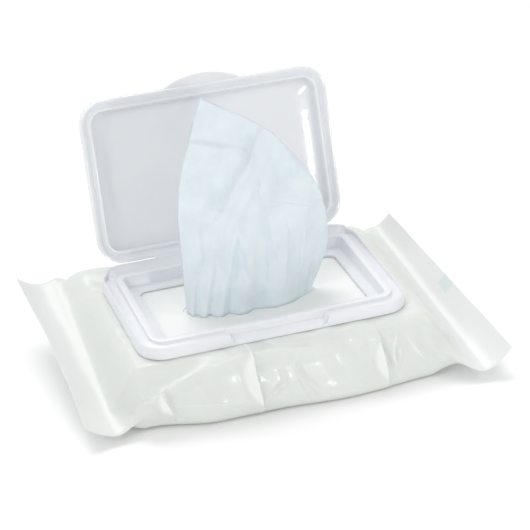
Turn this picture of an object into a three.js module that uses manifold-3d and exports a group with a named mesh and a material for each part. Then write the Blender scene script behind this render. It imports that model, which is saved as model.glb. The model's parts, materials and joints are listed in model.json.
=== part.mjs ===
// A soft packet of wet wipes with a hinged dispensing lid, open, with one wipe drawn through the slot.
// Millimetres, +Z up. The origin is on the floor under the middle of the packet, X runs along its
// length and -Y is the side with the thumb tab.
import * as THREE from 'three';
import { mergeVertices } from 'three/addons/utils/BufferGeometryUtils.js';
import Module from 'manifold-3d';

const manifold = await Module();
manifold.setup();

// Packet of wipes
const PACK_HEIGHT = 37;
const PACK_TOP_WIDTH = 114;
const PACK_FOOT_WIDTH = 124;
const PACK_TOP_RADIUS = 9;
const PACK_FOOT_RADIUS = 6;
const BODY_LENGTH = 156;
const FILM_WALL = 0.8;
const FILM_CLEARANCE = 0.3;
const STACK_END_ROOM = 6;
const STACK_RADIUS = 14;
const FOLD_LAYERS = 11;
const LAYER_NOTCH = 0.4;

// Sealed ends: how far the corners of the seal lie beyond the body, and their heights, at its root
// and at its tip; how far its front and back corners are drawn in, how far its edge bows inwards, and
// how far the back of the seal sags between its root and its tip
const SEAL_THICKNESS = 1.2;
const END_PLEATS = 7;
const END_PLEAT_DEPTH = 1.1;
const LEFT_END = {
  root: { front: [17, 5], back: [17, 35] },
  tip: { front: [38, 14], back: [38, 37] },
  drawnIn: { front: 16, back: 4 },
  bow: 3,
  sag: 5,
};
const RIGHT_END = {
  root: { front: [28.5, 6], back: [20.5, 27] },
  tip: { front: [43.5, 17], back: [30.5, 34] },
  drawnIn: { front: 1, back: 5 },
  bow: 0,
  sag: 0,
};

// Air trapped at the back of the packet: place as a share of half the body, half width, and how
// far the film stands out and up there
const BACK_PUFFS = [
  { at: -0.85, reach: 60, out: 15, up: 8 },
  { at: 0.9, reach: 60, out: 8, up: 2.5 },
];

// Foot of the front wall: where the film is drawn in or pushed out by the wipes
const FOOT_SWELLS = [
  { at: -1, reach: 40, out: -10 },
  { at: 0.45, reach: 46, out: 4 },
];

// Tucks pressed into the front of the film, deepest a little above the middle of the wall
const TUCK_LEVEL = 0.55;
const TUCK_SPREAD = 0.5;
const FRONT_TUCKS = [
  { at: -0.85, reach: 9, depth: 2.2 },
  { at: -0.23, reach: 7, depth: 2.2 },
  { at: 0.05, reach: 8, depth: 1.4 },
  { at: 0.67, reach: 8, depth: 3 },
];

// Slot in the film, an oval
const SLOT_LENGTH = 75;
const SLOT_WIDTH = 29;
const SLOT_X = -3;
const SLOT_Y = -3;

// Lid frame, a polypropylene moulding glued to the film
const GLUE_THICKNESS = 0.4;
const GLUE_MARGIN = 1;
const FRAME_LENGTH = 150;
const FRAME_DEPTH = 95.4;
const FRAME_RADIUS = 14;
const FRAME_DRAFT = 0.6;
const LIP_WIDTH = 1.6;
const LIP_FRONT_HEIGHT = 6.4;
const LIP_BACK_HEIGHT = 7.8;
const LEDGE_HEIGHT = 5;
const LEDGE_WALL = 1.5;
const RIDGE_LENGTH = 136.4;
const RIDGE_FRONT_GAP = 6.7;
const RIDGE_BACK_GAP = 9.7;
const RIDGE_RADIUS = 8;
const RIDGE_WIDTH = 4.6;
const RECESS_DRAFT = 1;
const FLOOR_HEIGHT = 1.6;
const FLOOR_WIDTH = 6.4;
const WINDOW_RADIUS = 5;
const BACK_WALL_WIDTH = 5.2;
const BACK_WALL_HEIGHT = 8.9;
const SCOOP_TOP_WIDTH = 54;
const SCOOP_FOOT_WIDTH = 46;
const SCOOP_FOOT_HEIGHT = 0.9;
const SCOOP_HEAD_HEIGHT = 4.4;
const LATCH_WIDTH = 12;
const LATCH_HEIGHT = 1.4;
const LATCH_SET_BACK = 0.3;
const LATCH_REACH = 0.5;
const LATCH_ROOT = 1;

// Lid, hinged on the back wall of the frame
const HINGE_GAP = 0.4;
const HINGE_LEAF = 1.5;
const LID_LENGTH = 143.5;
const LID_DEPTH = 91.8;
const LID_RADIUS = 14;
const LID_THICKNESS = 10.6;
const LID_PANEL = 1.5;
const LID_SHOULDER = 6;
const LID_SHOULDER_HEIGHT = 7;
const LID_FILLET = 2;
const LID_OPEN_ANGLE = 107.15;
const LID_CLOSED_DROP = 2;
const SKIRT_WIDTH = 2;
const GROOVE_WIDTH = 2.6;
const GROOVE_DEPTH = 3.2;
const BEAD_WIDTH = 1.9;
const BEAD_SET_BACK = 1.2;
const TAB_WIDTH = 46;
const TAB_REACH = 5.8;
const TAB_THICKNESS = 1.6;
const TAB_SET_BACK = 1;
const HINGE_WIDTH = 82;
const HINGE_RELIEF = 0.9;
const HINGE_NOTCH = 1;

// Wipe drawn through the slot
const WIPE_THICKNESS = 1.4;
const WIPE_SLOT_MARGIN = 2.6;
const WIPE_PLEATS = 8;
const WIPE_PLEAT_DEPTH = 1.1;
const WIPE_PLEAT_FADE = 0.7;
const WIPE_EDGE_SHARE = 0.4;
const WIPE_EDGE_REACH = 0.1;

// Outline of the wipe above its gathered foot. The sides are places out from the ends of that foot,
// the top is places from the middle of the slot; then come the place along Y and the height above
// the film.
const WIPE_LEFT = [[1, -1, 37], [1, -1, 68], [-5, -1, 97], [-14, -2, 124]];
const WIPE_TOP = [[12, -3, 103], [33, -1, 76]];
const WIPE_RIGHT = [[7, 0, 14], [12, 1, 26], [11, 0, 52]];

// Smoothness of the solids
const CORNER_STEPS = 6;
const FLAT_STEPS = 4;
const FILM_CORNER_STEPS = 4;
const SIDE_STEPS = 3;
const SHOULDER_STEPS = 4;
const ARC_STEPS = 24;
const BODY_STATIONS = 20;
const RAMP_STATIONS = 5;
const SEAL_STATIONS = 2;
const WIPE_COLUMNS = 48;
const WIPE_ROWS = 18;
const OVAL_STEPS = 40;
const OVERSHOOT = 5;
const SMALLEST_RADIUS = 1;
const MERGE_TOLERANCE = 1e-4;

// Heights and places that follow from the sizes above
const FRAME_Z = PACK_HEIGHT + GLUE_THICKNESS;
const HINGE_Y = FRAME_DEPTH / 2;
const HINGE_Z = FRAME_Z + BACK_WALL_HEIGHT + HINGE_GAP;
const CLOSED_SLOPE = Math.tan(THREE.MathUtils.degToRad(LID_CLOSED_DROP));
const STACK_LENGTH = BODY_LENGTH - 2 * STACK_END_ROOM;
const BEAD_INSET = SKIRT_WIDTH + GROOVE_WIDTH;
const RECESS_INSET = BEAD_INSET + BEAD_WIDTH;
const STACK_TOP = PACK_HEIGHT - FILM_WALL - FILM_CLEARANCE;

// Rectangle with round corners, as its four sides and its radius
function rectangle(length, front, back, radius) {
  return { left: -length / 2, right: length / 2, front, back, radius };
}

const FRAME_OUTLINE = rectangle(FRAME_LENGTH, -FRAME_DEPTH / 2, FRAME_DEPTH / 2, FRAME_RADIUS);
const RIDGE_OUTLINE = rectangle(
  RIDGE_LENGTH, -FRAME_DEPTH / 2 + RIDGE_FRONT_GAP, FRAME_DEPTH / 2 - RIDGE_BACK_GAP, RIDGE_RADIUS,
);
const LID_OUTLINE = rectangle(LID_LENGTH, 0, LID_DEPTH, LID_RADIUS);

function shrunk(outline, by, radius = Math.max(outline.radius - by, SMALLEST_RADIUS)) {
  return {
    left: outline.left + by,
    right: outline.right - by,
    front: outline.front + by,
    back: outline.back - by,
    radius,
  };
}

// Points of a round-cornered rectangle, anticlockwise from the middle of its right side
function outlinePoints({ left, right, front, back, radius }) {
  const points = [new THREE.Vector2(right, (front + back) / 2)];
  const corners = [[right, back, 0], [left, back, 1], [left, front, 2], [right, front, 3]];
  for (const [x, y, quarter] of corners) {
    const centreX = x === left ? left + radius : right - radius;
    const centreY = y === back ? back - radius : front + radius;
    for (let step = 0; step <= CORNER_STEPS; step += 1) {
      const angle = (quarter + step / CORNER_STEPS) * Math.PI / 2;
      points.push(new THREE.Vector2(centreX + radius * Math.cos(angle), centreY + radius * Math.sin(angle)));
    }
    if (quarter === 1) points.push(new THREE.Vector2(left, (front + back) / 2));
  }
  return points;
}

// Closed skin through rings of equal length. Each ring starts at a side, so that the points that
// face each other across a ring close its two ends.
function skin(rings) {
  const count = rings[0].length;
  const positions = rings.flat().flatMap((point) => [point.x, point.y, point.z]);
  const index = [];
  for (let row = 0; row < rings.length - 1; row += 1) {
    for (let column = 0; column < count; column += 1) {
      const a = row * count + column;
      const b = row * count + (column + 1) % count;
      index.push(a, b, b + count, a, b + count, a + count);
    }
  }
  const last = (rings.length - 1) * count;
  for (let column = 0; column < count / 2; column += 1) {
    const next = column + 1;
    const across = (count - column) % count;
    const acrossNext = count - next;
    if (next !== acrossNext) {
      index.push(next, column, acrossNext, last + column, last + next, last + acrossNext);
    }
    if (across !== column) {
      index.push(column, across, acrossNext, last + across, last + column, last + acrossNext);
    }
  }
  const geometry = new THREE.BufferGeometry();
  geometry.setAttribute('position', new THREE.Float32BufferAttribute(positions, 3));
  geometry.setIndex(index);
  return geometry;
}

function solidOf(source) {
  const bare = source.clone();
  bare.deleteAttribute('normal');
  bare.deleteAttribute('uv');
  const merged = mergeVertices(bare, MERGE_TOLERANCE);
  const mesh = new manifold.Mesh({
    numProp: 3,
    vertProperties: new Float32Array(merged.attributes.position.array),
    triVerts: new Uint32Array(merged.index.array),
  });
  return new manifold.Manifold(mesh);
}

// Solid whose outline shrinks from level to level: each level is a height and an inset
function tiers(outline, levels, radius) {
  const rings = levels.map(([z, inset]) => {
    const points = outlinePoints(shrunk(outline, inset, radius));
    return points.map((point) => new THREE.Vector3(point.x, point.y, z));
  });
  return solidOf(skin(rings));
}

const prism = (outline, low, high) => tiers(outline, [[low, 0], [high, 0]]);

function ring(outer, inner, low, high) {
  return prism(outer, low, high).subtract(prism(inner, low - OVERSHOOT, high + OVERSHOOT));
}

// Solid with a side view in Y and Z that runs along X, across the middle
function sideExtrusion(points, width) {
  const shape = new THREE.Shape(points.map(([y, z]) => new THREE.Vector2(y, z)));
  const geometry = new THREE.ExtrudeGeometry(shape, { depth: width, bevelEnabled: false });
  geometry.rotateY(Math.PI / 2);
  geometry.rotateX(Math.PI / 2);
  geometry.translate(-width / 2, 0, 0);
  return solidOf(geometry);
}

// Everything above the line that rises from front to back, as a cutter for sloping tops
function above(frontHeight, backHeight, front, back) {
  const slope = (backHeight - frontHeight) / (back - front);
  const heightAt = (y) => frontHeight + slope * (y - front);
  const near = front - FRAME_DEPTH;
  const far = back + FRAME_DEPTH;
  const top = Math.max(heightAt(near), heightAt(far)) + FRAME_DEPTH;
  const side = [[near, heightAt(near)], [far, heightAt(far)], [far, top], [near, top]];
  return sideExtrusion(side, 2 * FRAME_LENGTH);
}

function oval(length, width, x, y, low, high) {
  const path = new THREE.Shape();
  path.absellipse(x, y, length / 2, width / 2, 0, 2 * Math.PI);
  const geometry = new THREE.ExtrudeGeometry(new THREE.Shape(path.getPoints(OVAL_STEPS)), {
    depth: high - low, bevelEnabled: false,
  });
  geometry.translate(0, 0, low);
  return solidOf(geometry);
}

function meshOf(name, shape, { colour, roughness }) {
  const parts = shape.getMesh();
  const geometry = new THREE.BufferGeometry();
  geometry.setAttribute('position', new THREE.BufferAttribute(new Float32Array(parts.vertProperties), 3));
  geometry.setIndex(new THREE.BufferAttribute(new Uint32Array(parts.triVerts), 1));
  geometry.computeVertexNormals();
  const material = new THREE.MeshStandardMaterial({ color: colour, roughness, metalness: 0 });
  const mesh = new THREE.Mesh(geometry, material);
  mesh.name = name;
  return mesh;
}

// Quarter of the packet's section, from the middle of its side to the middle of its top or bottom
function sectionQuarter(halfWidth, sideHalfWidth, height, radius, inset) {
  const reach = halfWidth - inset;
  const level = height - Math.sign(height) * inset;
  const round = radius - inset;
  const points = [];
  for (let step = 0; step < SIDE_STEPS; step += 1) {
    const share = step / SIDE_STEPS;
    const y = THREE.MathUtils.lerp(sideHalfWidth - inset, reach, share);
    points.push(new THREE.Vector2(y, (level - Math.sign(level) * round) * share));
  }
  for (let step = 0; step <= FILM_CORNER_STEPS; step += 1) {
    const angle = step / FILM_CORNER_STEPS * Math.PI / 2;
    const rise = level - Math.sign(level) * round * (1 - Math.sin(angle));
    points.push(new THREE.Vector2(reach - round + round * Math.cos(angle), rise));
  }
  const flat = reach - round;
  for (let step = 1; step <= FLAT_STEPS; step += 1) {
    points.push(new THREE.Vector2(flat * (1 - step / FLAT_STEPS), level));
  }
  return points;
}

// Share of the way along a run of points at each of them
function lengthShares(points) {
  const lengths = [0];
  for (let i = 1; i < points.length; i += 1) {
    lengths.push(lengths[i - 1] + points[i].distanceTo(points[i - 1]));
  }
  return lengths.map((length) => length / lengths.at(-1));
}

// The packet's section, anticlockwise seen from +X, starting at the middle of its back side. Each
// point also carries its place on the flat seal: across from -1 to 1, and its face, up or down.
function packetSection(inset) {
  const half = PACK_HEIGHT / 2;
  const sideHalf = (PACK_TOP_WIDTH + PACK_FOOT_WIDTH) / 4;
  const upper = sectionQuarter(PACK_TOP_WIDTH / 2, sideHalf, half, PACK_TOP_RADIUS, inset);
  const lower = sectionQuarter(PACK_FOOT_WIDTH / 2, sideHalf, -half, PACK_FOOT_RADIUS, inset);
  const upperShares = lengthShares(upper);
  const lowerShares = lengthShares(lower);
  const section = [];
  const add = (point, share, side, face) => {
    section.push({ y: side * point.x, z: point.y + half, across: side * (1 - share), face });
  };
  for (let i = 0; i < upper.length; i += 1) add(upper[i], upperShares[i], 1, i === 0 ? 0 : 1);
  for (let i = upper.length - 2; i >= 0; i -= 1) add(upper[i], upperShares[i], -1, i === 0 ? 0 : 1);
  for (let i = 1; i < lower.length; i += 1) add(lower[i], lowerShares[i], -1, -1);
  for (let i = lower.length - 2; i > 0; i -= 1) add(lower[i], lowerShares[i], 1, -1);
  const girth = section.reduce((sum, point, i) => {
    const next = section[(i + 1) % section.length];
    return sum + Math.hypot(next.y - point.y, next.z - point.z);
  }, 0);
  return { section, girth };
}

// Smooth swelling of a form at a place along the packet: 1 at its middle, 0 past its reach
function swell({ at, reach }, x) {
  const away = Math.abs(x - at * BODY_LENGTH / 2) / reach;
  return away < 1 ? (1 + Math.cos(away * Math.PI)) / 2 : 0;
}

const swellOf = (forms, size, x) => forms.reduce((sum, form) => sum + form[size] * swell(form, x), 0);

// One ring of the film. Its place is a side of the packet, a distance along the body, and shares of
// the way down the ramp beyond the body and along the seal beyond the ramp.
function filmRing({ side, along, ramp, seal }, inset) {
  const { section, girth } = packetSection(inset);
  const end = side < 0 ? LEFT_END : RIGHT_END;
  const flattening = THREE.MathUtils.smoothstep(ramp, 0, 1);
  const pleating = 4 * flattening * (1 - flattening) * END_PLEAT_DEPTH;
  return section.map(({ y, z, across, face }) => {
    const toBack = (across + 1) / 2;
    const corner = (edge, axis) => THREE.MathUtils.lerp(edge.front[axis], edge.back[axis], toBack);
    const beyond = ramp * THREE.MathUtils.lerp(corner(end.root, 0), corner(end.tip, 0), seal);
    const bow = end.bow * (1 - across ** 2) * seal;
    const x = side * (along + beyond - bow);

    const drawn = across < 0 ? end.drawnIn.front : end.drawnIn.back;
    const sealY = across * (girth / 4 - drawn);
    const sag = end.sag * toBack * 4 * seal * (1 - seal);
    const sealZ = THREE.MathUtils.lerp(corner(end.root, 1), corner(end.tip, 1), seal) - sag;
    const faceZ = face * (SEAL_THICKNESS / 2 - inset);
    const pleat = face * pleating * Math.cos(across * END_PLEATS * Math.PI);

    const height = z / PACK_HEIGHT;
    const tuckShare = Math.max(0, 1 - Math.abs(height - TUCK_LEVEL) / TUCK_SPREAD);
    const isFront = y < PACK_TOP_RADIUS - PACK_TOP_WIDTH / 2 ? 1 : 0;
    const tuck = isFront * tuckShare * swellOf(FRONT_TUCKS, 'depth', x);
    const foot = isFront * (1 - height) * swellOf(FOOT_SWELLS, 'out', x);
    const flatEnd = Math.max(FRAME_DEPTH / 2, PACK_TOP_WIDTH / 2 - PACK_TOP_RADIUS);
    const isBack = THREE.MathUtils.smoothstep(y, flatEnd, PACK_TOP_WIDTH / 2);
    const stay = 1 - flattening;
    const puff = isBack * height * (1 - flattening ** 2);
    const puffOut = puff * swellOf(BACK_PUFFS, 'out', x);
    const puffUp = puff * swellOf(BACK_PUFFS, 'up', x);
    return new THREE.Vector3(
      x,
      THREE.MathUtils.lerp(y, sealY, flattening) + (tuck - foot) * stay + puffOut,
      THREE.MathUtils.lerp(z, sealZ + faceZ, flattening) + pleat + puffUp,
    );
  });
}

// Film: a tube of film pressed flat and sealed at both ends, with an oval slot cut in its top
function filmPouch() {
  const steps = (count) => Array.from({ length: count }, (_, i) => (i + 1) / count);
  const half = (side) => [
    ...steps(BODY_STATIONS / 2).map((share) => ({ side, along: share * BODY_LENGTH / 2, ramp: 0, seal: 0 })),
    ...steps(RAMP_STATIONS).map((ramp) => ({ side, along: BODY_LENGTH / 2, ramp, seal: 0 })),
    ...steps(SEAL_STATIONS).map((seal) => ({ side, along: BODY_LENGTH / 2, ramp: 1, seal })),
  ];
  const middle = { side: 1, along: 0, ramp: 0, seal: 0 };
  const places = [...half(-1).reverse(), middle, ...half(1)];
  const outside = solidOf(skin(places.map((place) => filmRing(place, 0))));
  const body = places.filter(({ ramp }) => ramp === 0);
  const inside = solidOf(skin(body.map((place) => filmRing(place, FILM_WALL))));
  const slot = oval(
    SLOT_LENGTH, SLOT_WIDTH, SLOT_X, SLOT_Y, STACK_TOP - FILM_CLEARANCE, PACK_HEIGHT + OVERSHOOT,
  );
  return outside.subtract(inside).subtract(slot);
}

// Wipes: one folded stack, with a notch in its sides between one folded wipe and the next
function wipeStack() {
  const margin = FILM_WALL + FILM_CLEARANCE;
  const halfDepth = PACK_TOP_WIDTH / 2 - margin - Math.max(...FRONT_TUCKS.map((tuck) => tuck.depth));
  const outline = rectangle(STACK_LENGTH, -halfDepth, halfDepth, STACK_RADIUS);
  const bottom = margin;
  const levels = [];
  for (let layer = 0; layer < FOLD_LAYERS; layer += 1) {
    const low = THREE.MathUtils.lerp(bottom, STACK_TOP, layer / FOLD_LAYERS);
    const high = THREE.MathUtils.lerp(bottom, STACK_TOP, (layer + 1) / FOLD_LAYERS);
    const crown = layer === 0 || layer === FOLD_LAYERS - 1 ? PACK_TOP_RADIUS / 2 : 0;
    levels.push([low, LAYER_NOTCH + crown], [(low + high) / 2, crown / 2]);
  }
  levels.push([STACK_TOP, LAYER_NOTCH + PACK_TOP_RADIUS / 2]);
  return tiers(outline, levels);
}

function windowOutline() {
  return shrunk(RIDGE_OUTLINE, RIDGE_WIDTH + FLOOR_WIDTH, WINDOW_RADIUS);
}

// Glue between the film and the frame
function frameGlue() {
  const outer = shrunk(FRAME_OUTLINE, GLUE_MARGIN);
  return ring(outer, shrunk(windowOutline(), -GLUE_MARGIN), PACK_HEIGHT, FRAME_Z);
}

// Scoop for the thumb: a sloping bite out of the front of the frame
function thumbScoop() {
  const frontFace = FRAME_OUTLINE.front;
  const ridgeFace = RIDGE_OUTLINE.front;
  const flare = (SCOOP_TOP_WIDTH - SCOOP_FOOT_WIDTH) / 2;
  const top = BACK_WALL_HEIGHT;
  const outside = frontFace - OVERSHOOT;
  const slope = (SCOOP_HEAD_HEIGHT - SCOOP_FOOT_HEIGHT) / (ridgeFace - frontFace);
  const footOutside = SCOOP_FOOT_HEIGHT - slope * OVERSHOOT;
  const rings = [-1, 1].map((side) => {
    const foot = side * SCOOP_FOOT_WIDTH / 2;
    const head = foot + side * flare * top / LIP_FRONT_HEIGHT;
    return [
      new THREE.Vector3(foot, outside, footOutside),
      new THREE.Vector3(foot + side * flare / 2, ridgeFace, SCOOP_HEAD_HEIGHT),
      new THREE.Vector3(head, ridgeFace, top),
      new THREE.Vector3(head, outside, top),
    ];
  });
  return solidOf(skin(rings));
}

// Frame: lip, ledge, ridge, floor with its window, raised back wall, scoop and latch
function lidFrame() {
  const tall = BACK_WALL_HEIGHT;
  const inBack = HINGE_Y - BACK_WALL_WIDTH;
  const lipEdge = FRAME_DRAFT + LIP_WIDTH / 3;
  const shoulder = [LIP_FRONT_HEIGHT - LIP_WIDTH / 2, FRAME_DRAFT];
  const outside = tiers(FRAME_OUTLINE, [[0, 0], shoulder, [tall, lipEdge]]);
  const ridgeDrop = (y) => (HINGE_Y - y) * CLOSED_SLOPE;
  const ridgeFrontTop = tall - ridgeDrop(RIDGE_OUTLINE.front) + BEAD_SET_BACK;
  const overLip = above(LIP_FRONT_HEIGHT, LIP_BACK_HEIGHT, FRAME_OUTLINE.front, FRAME_OUTLINE.back);
  const overRidge = above(ridgeFrontTop, tall, RIDGE_OUTLINE.front, RIDGE_OUTLINE.back);
  const backRoom = prism(
    rectangle(FRAME_LENGTH + 2 * OVERSHOOT, inBack, HINGE_Y + OVERSHOOT, SMALLEST_RADIUS),
    -OVERSHOOT, tall + OVERSHOOT,
  );
  const lip = outside.subtract(prism(shrunk(FRAME_OUTLINE, LIP_WIDTH), -OVERSHOOT, tall + OVERSHOOT));
  const base = outside.intersect(prism(FRAME_OUTLINE, 0, LEDGE_HEIGHT));
  const ridge = ring(RIDGE_OUTLINE, shrunk(RIDGE_OUTLINE, RIDGE_WIDTH), 0, tall);
  const recess = tiers(
    RIDGE_OUTLINE, [[FLOOR_HEIGHT, RIDGE_WIDTH + RECESS_DRAFT], [tall + OVERSHOOT, RIDGE_WIDTH]],
    RIDGE_RADIUS - RIDGE_WIDTH + RECESS_DRAFT,
  );
  const hollowUnder = ring(
    shrunk(FRAME_OUTLINE, LEDGE_WALL), shrunk(RIDGE_OUTLINE, RIDGE_WIDTH - LEDGE_WALL),
    -OVERSHOOT, LEDGE_HEIGHT - LEDGE_WALL,
  );
  const latch = prism(
    rectangle(
      LATCH_WIDTH, RIDGE_OUTLINE.front - LATCH_REACH, RIDGE_OUTLINE.front + LATCH_ROOT, LATCH_REACH / 2,
    ),
    ridgeFrontTop - LATCH_SET_BACK - LATCH_HEIGHT, ridgeFrontTop - LATCH_SET_BACK,
  );
  const hingeLeaf = prism(
    rectangle(HINGE_WIDTH, HINGE_Y - HINGE_LEAF, HINGE_Y - HINGE_GAP / 2, HINGE_GAP / 2),
    tall - HINGE_LEAF, tall + HINGE_GAP / 2,
  );
  return base
    .add(lip.subtract(overLip))
    .add(ridge.subtract(overRidge))
    .add(outside.intersect(backRoom))
    .subtract(recess)
    .subtract(hollowUnder)
    .subtract(prism(windowOutline(), -OVERSHOOT, tall))
    .subtract(thumbScoop().subtract(prism(RIDGE_OUTLINE, -OVERSHOOT, tall + OVERSHOOT)))
    .add(latch)
    .add(hingeLeaf);
}

// Thumb tab: a segment of a circle that stands out of the lid's far edge
function thumbTab() {
  const rise = TAB_REACH;
  const radius = (TAB_WIDTH ** 2 / 4 + rise ** 2) / (2 * rise);
  const centre = LID_DEPTH + rise - radius;
  const half = Math.asin(TAB_WIDTH / 2 / radius);
  const shape = new THREE.Shape();
  shape.absarc(0, centre, radius, Math.PI / 2 - half, Math.PI / 2 + half);
  shape.lineTo(-TAB_WIDTH / 2, LID_DEPTH - SKIRT_WIDTH);
  shape.lineTo(TAB_WIDTH / 2, LID_DEPTH - SKIRT_WIDTH);
  const tab = new THREE.ExtrudeGeometry(shape, {
    depth: TAB_THICKNESS, bevelEnabled: false, curveSegments: ARC_STEPS,
  });
  tab.translate(0, 0, -TAB_SET_BACK - TAB_THICKNESS);
  return solidOf(tab);
}

// Lid, drawn lying open on its back: the hinge edge on the X axis, its inside facing +Z
function lid() {
  const shoulder = Array.from({ length: SHOULDER_STEPS + 1 }, (_, step) => {
    const angle = step / SHOULDER_STEPS * Math.PI / 2;
    const level = LID_SHOULDER_HEIGHT * (1 - Math.cos(angle)) - LID_THICKNESS;
    return [level, LID_SHOULDER * (1 - Math.sin(angle))];
  });
  const shell = tiers(LID_OUTLINE, [...shoulder, [-SKIRT_WIDTH / 3, 0], [0, SKIRT_WIDTH / 3]]);
  const panelLevel = LID_PANEL - LID_THICKNESS;
  const filletMiddle = LID_FILLET * (1 - Math.SQRT1_2);
  const recess = tiers(LID_OUTLINE, [
    [panelLevel, RECESS_INSET + LID_FILLET],
    [panelLevel + filletMiddle, RECESS_INSET + filletMiddle],
    [panelLevel + LID_FILLET, RECESS_INSET],
    [OVERSHOOT, RECESS_INSET],
  ], LID_RADIUS - RECESS_INSET);
  const insideSkirt = shrunk(LID_OUTLINE, SKIRT_WIDTH);
  const groove = ring(insideSkirt, shrunk(LID_OUTLINE, BEAD_INSET), -GROOVE_DEPTH, OVERSHOOT);
  const overBead = prism(insideSkirt, -BEAD_SET_BACK, OVERSHOOT);
  const side = (LID_LENGTH - HINGE_WIDTH) / 2;
  const relief = (left) => prism(
    { left, right: left + side, front: -OVERSHOOT, back: HINGE_RELIEF, radius: HINGE_RELIEF / 4 },
    -SKIRT_WIDTH, OVERSHOOT,
  );
  const hingeLeaf = prism(
    rectangle(HINGE_WIDTH, HINGE_GAP / 2, SKIRT_WIDTH, HINGE_GAP / 2),
    -HINGE_LEAF, -HINGE_GAP / 2,
  );
  return shell
    .add(thumbTab())
    .add(hingeLeaf)
    .subtract(recess)
    .subtract(groove)
    .subtract(overBead)
    .subtract(relief(-LID_LENGTH / 2 - HINGE_NOTCH))
    .subtract(relief(HINGE_WIDTH / 2 + HINGE_NOTCH));
}

// Smooth edge of the wipe through a few places
const edge = (...places) => new THREE.CatmullRomCurve3(places.map((place) => new THREE.Vector3(...place)));

// Point of the wipe's front face: across from 0 at the left to 1 at the right, up from 0 to 1
function wipeFace() {
  const low = STACK_TOP + FILM_CLEARANCE;
  const halfX = SLOT_LENGTH / 2 - WIPE_SLOT_MARGIN;
  const halfY = SLOT_WIDTH / 2 - WIPE_SLOT_MARGIN;
  const base = (across) => {
    const angle = Math.PI * (1 + across);
    return new THREE.Vector3(SLOT_X + halfX * Math.cos(angle), SLOT_Y + halfY * Math.sin(angle), low);
  };
  const place = (x, [, y, height]) => [x, SLOT_Y + y, PACK_HEIGHT + height];
  const left = edge(
    [SLOT_X - halfX, SLOT_Y, low], ...WIPE_LEFT.map((spot) => place(SLOT_X - halfX - spot[0], spot)),
  );
  const right = edge(
    [SLOT_X + halfX, SLOT_Y, low], ...WIPE_RIGHT.map((spot) => place(SLOT_X + halfX + spot[0], spot)),
  );
  const top = edge(
    left.getPoint(1).toArray(),
    ...WIPE_TOP.map((spot) => place(SLOT_X + spot[0], spot)),
    right.getPoint(1).toArray(),
  );
  return (across, up) => {
    const between = base(across).multiplyScalar(1 - up).add(top.getPoint(across).multiplyScalar(up));
    const sides = left.getPoint(up).multiplyScalar(1 - across).add(right.getPoint(up).multiplyScalar(across));
    const corners = base(0).multiplyScalar((1 - across) * (1 - up))
      .add(base(1).multiplyScalar(across * (1 - up)))
      .add(top.getPoint(0).multiplyScalar((1 - across) * up))
      .add(top.getPoint(1).multiplyScalar(across * up));
    const point = between.add(sides).sub(corners);
    const pleatDepth = WIPE_PLEAT_DEPTH * (1 - up * WIPE_PLEAT_FADE) * Math.sin(across * Math.PI);
    point.y += pleatDepth * Math.sin(across * WIPE_PLEATS * 2 * Math.PI);
    return point;
  };
}

// Wipe: one sheet, gathered at the slot and spreading above it. Each of its rows is a ring that
// runs along the front face and back along the rear one.
function pulledWipe() {
  const face = wipeFace();
  const rings = [];
  for (let row = 0; row <= WIPE_ROWS; row += 1) {
    const up = row / WIPE_ROWS;
    const front = [];
    const rear = [];
    for (let column = 0; column <= WIPE_COLUMNS; column += 1) {
      const point = face(column / WIPE_COLUMNS, up);
      const fromEdge = Math.min(column, WIPE_COLUMNS - column) / WIPE_COLUMNS;
      const fullness = Math.min(1, fromEdge / WIPE_EDGE_REACH);
      const thickness = WIPE_THICKNESS * THREE.MathUtils.lerp(WIPE_EDGE_SHARE, 1, fullness);
      front.push(point);
      rear.push(point.clone().add(new THREE.Vector3(0, thickness, 0)));
    }
    rings.push([...front, ...rear.reverse()]);
  }
  return solidOf(skin(rings));
}

const WHITE_PLASTIC = { colour: 0xe9eaf4, roughness: 0.28 };
const FILM = { colour: 0xe6ebe2, roughness: 0.3 };
const MOIST_FLEECE = { colour: 0xd6e6ec, roughness: 0.9 };
const GLUE = { colour: 0xf0f0e6, roughness: 0.5 };

const group = new THREE.Group();
group.add(meshOf('film_pouch', filmPouch(), FILM));
group.add(meshOf('wipe_stack', wipeStack(), MOIST_FLEECE));
group.add(meshOf('pulled_wipe', pulledWipe(), MOIST_FLEECE));
group.add(meshOf('frame_glue', frameGlue(), GLUE));

const frameGroup = new THREE.Group();
frameGroup.position.z = FRAME_Z;
frameGroup.add(meshOf('lid_frame', lidFrame(), WHITE_PLASTIC));
group.add(frameGroup);

const lidGroup = new THREE.Group();
lidGroup.position.set(0, HINGE_Y, HINGE_Z);
lidGroup.rotation.x = THREE.MathUtils.degToRad(180 - LID_OPEN_ANGLE);
lidGroup.add(meshOf('lid', lid(), WHITE_PLASTIC));
group.add(lidGroup);

export default group;
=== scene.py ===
# %% [markdown]
# A soft packet of wet wipes with its flip-top lid open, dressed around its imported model. The packed
# model is the fixed frame: it says where each body is, and everything here is in metres around it.
import json
import math

import bmesh
import bpy
import numpy as np
from mathutils import Matrix, Vector


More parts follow.
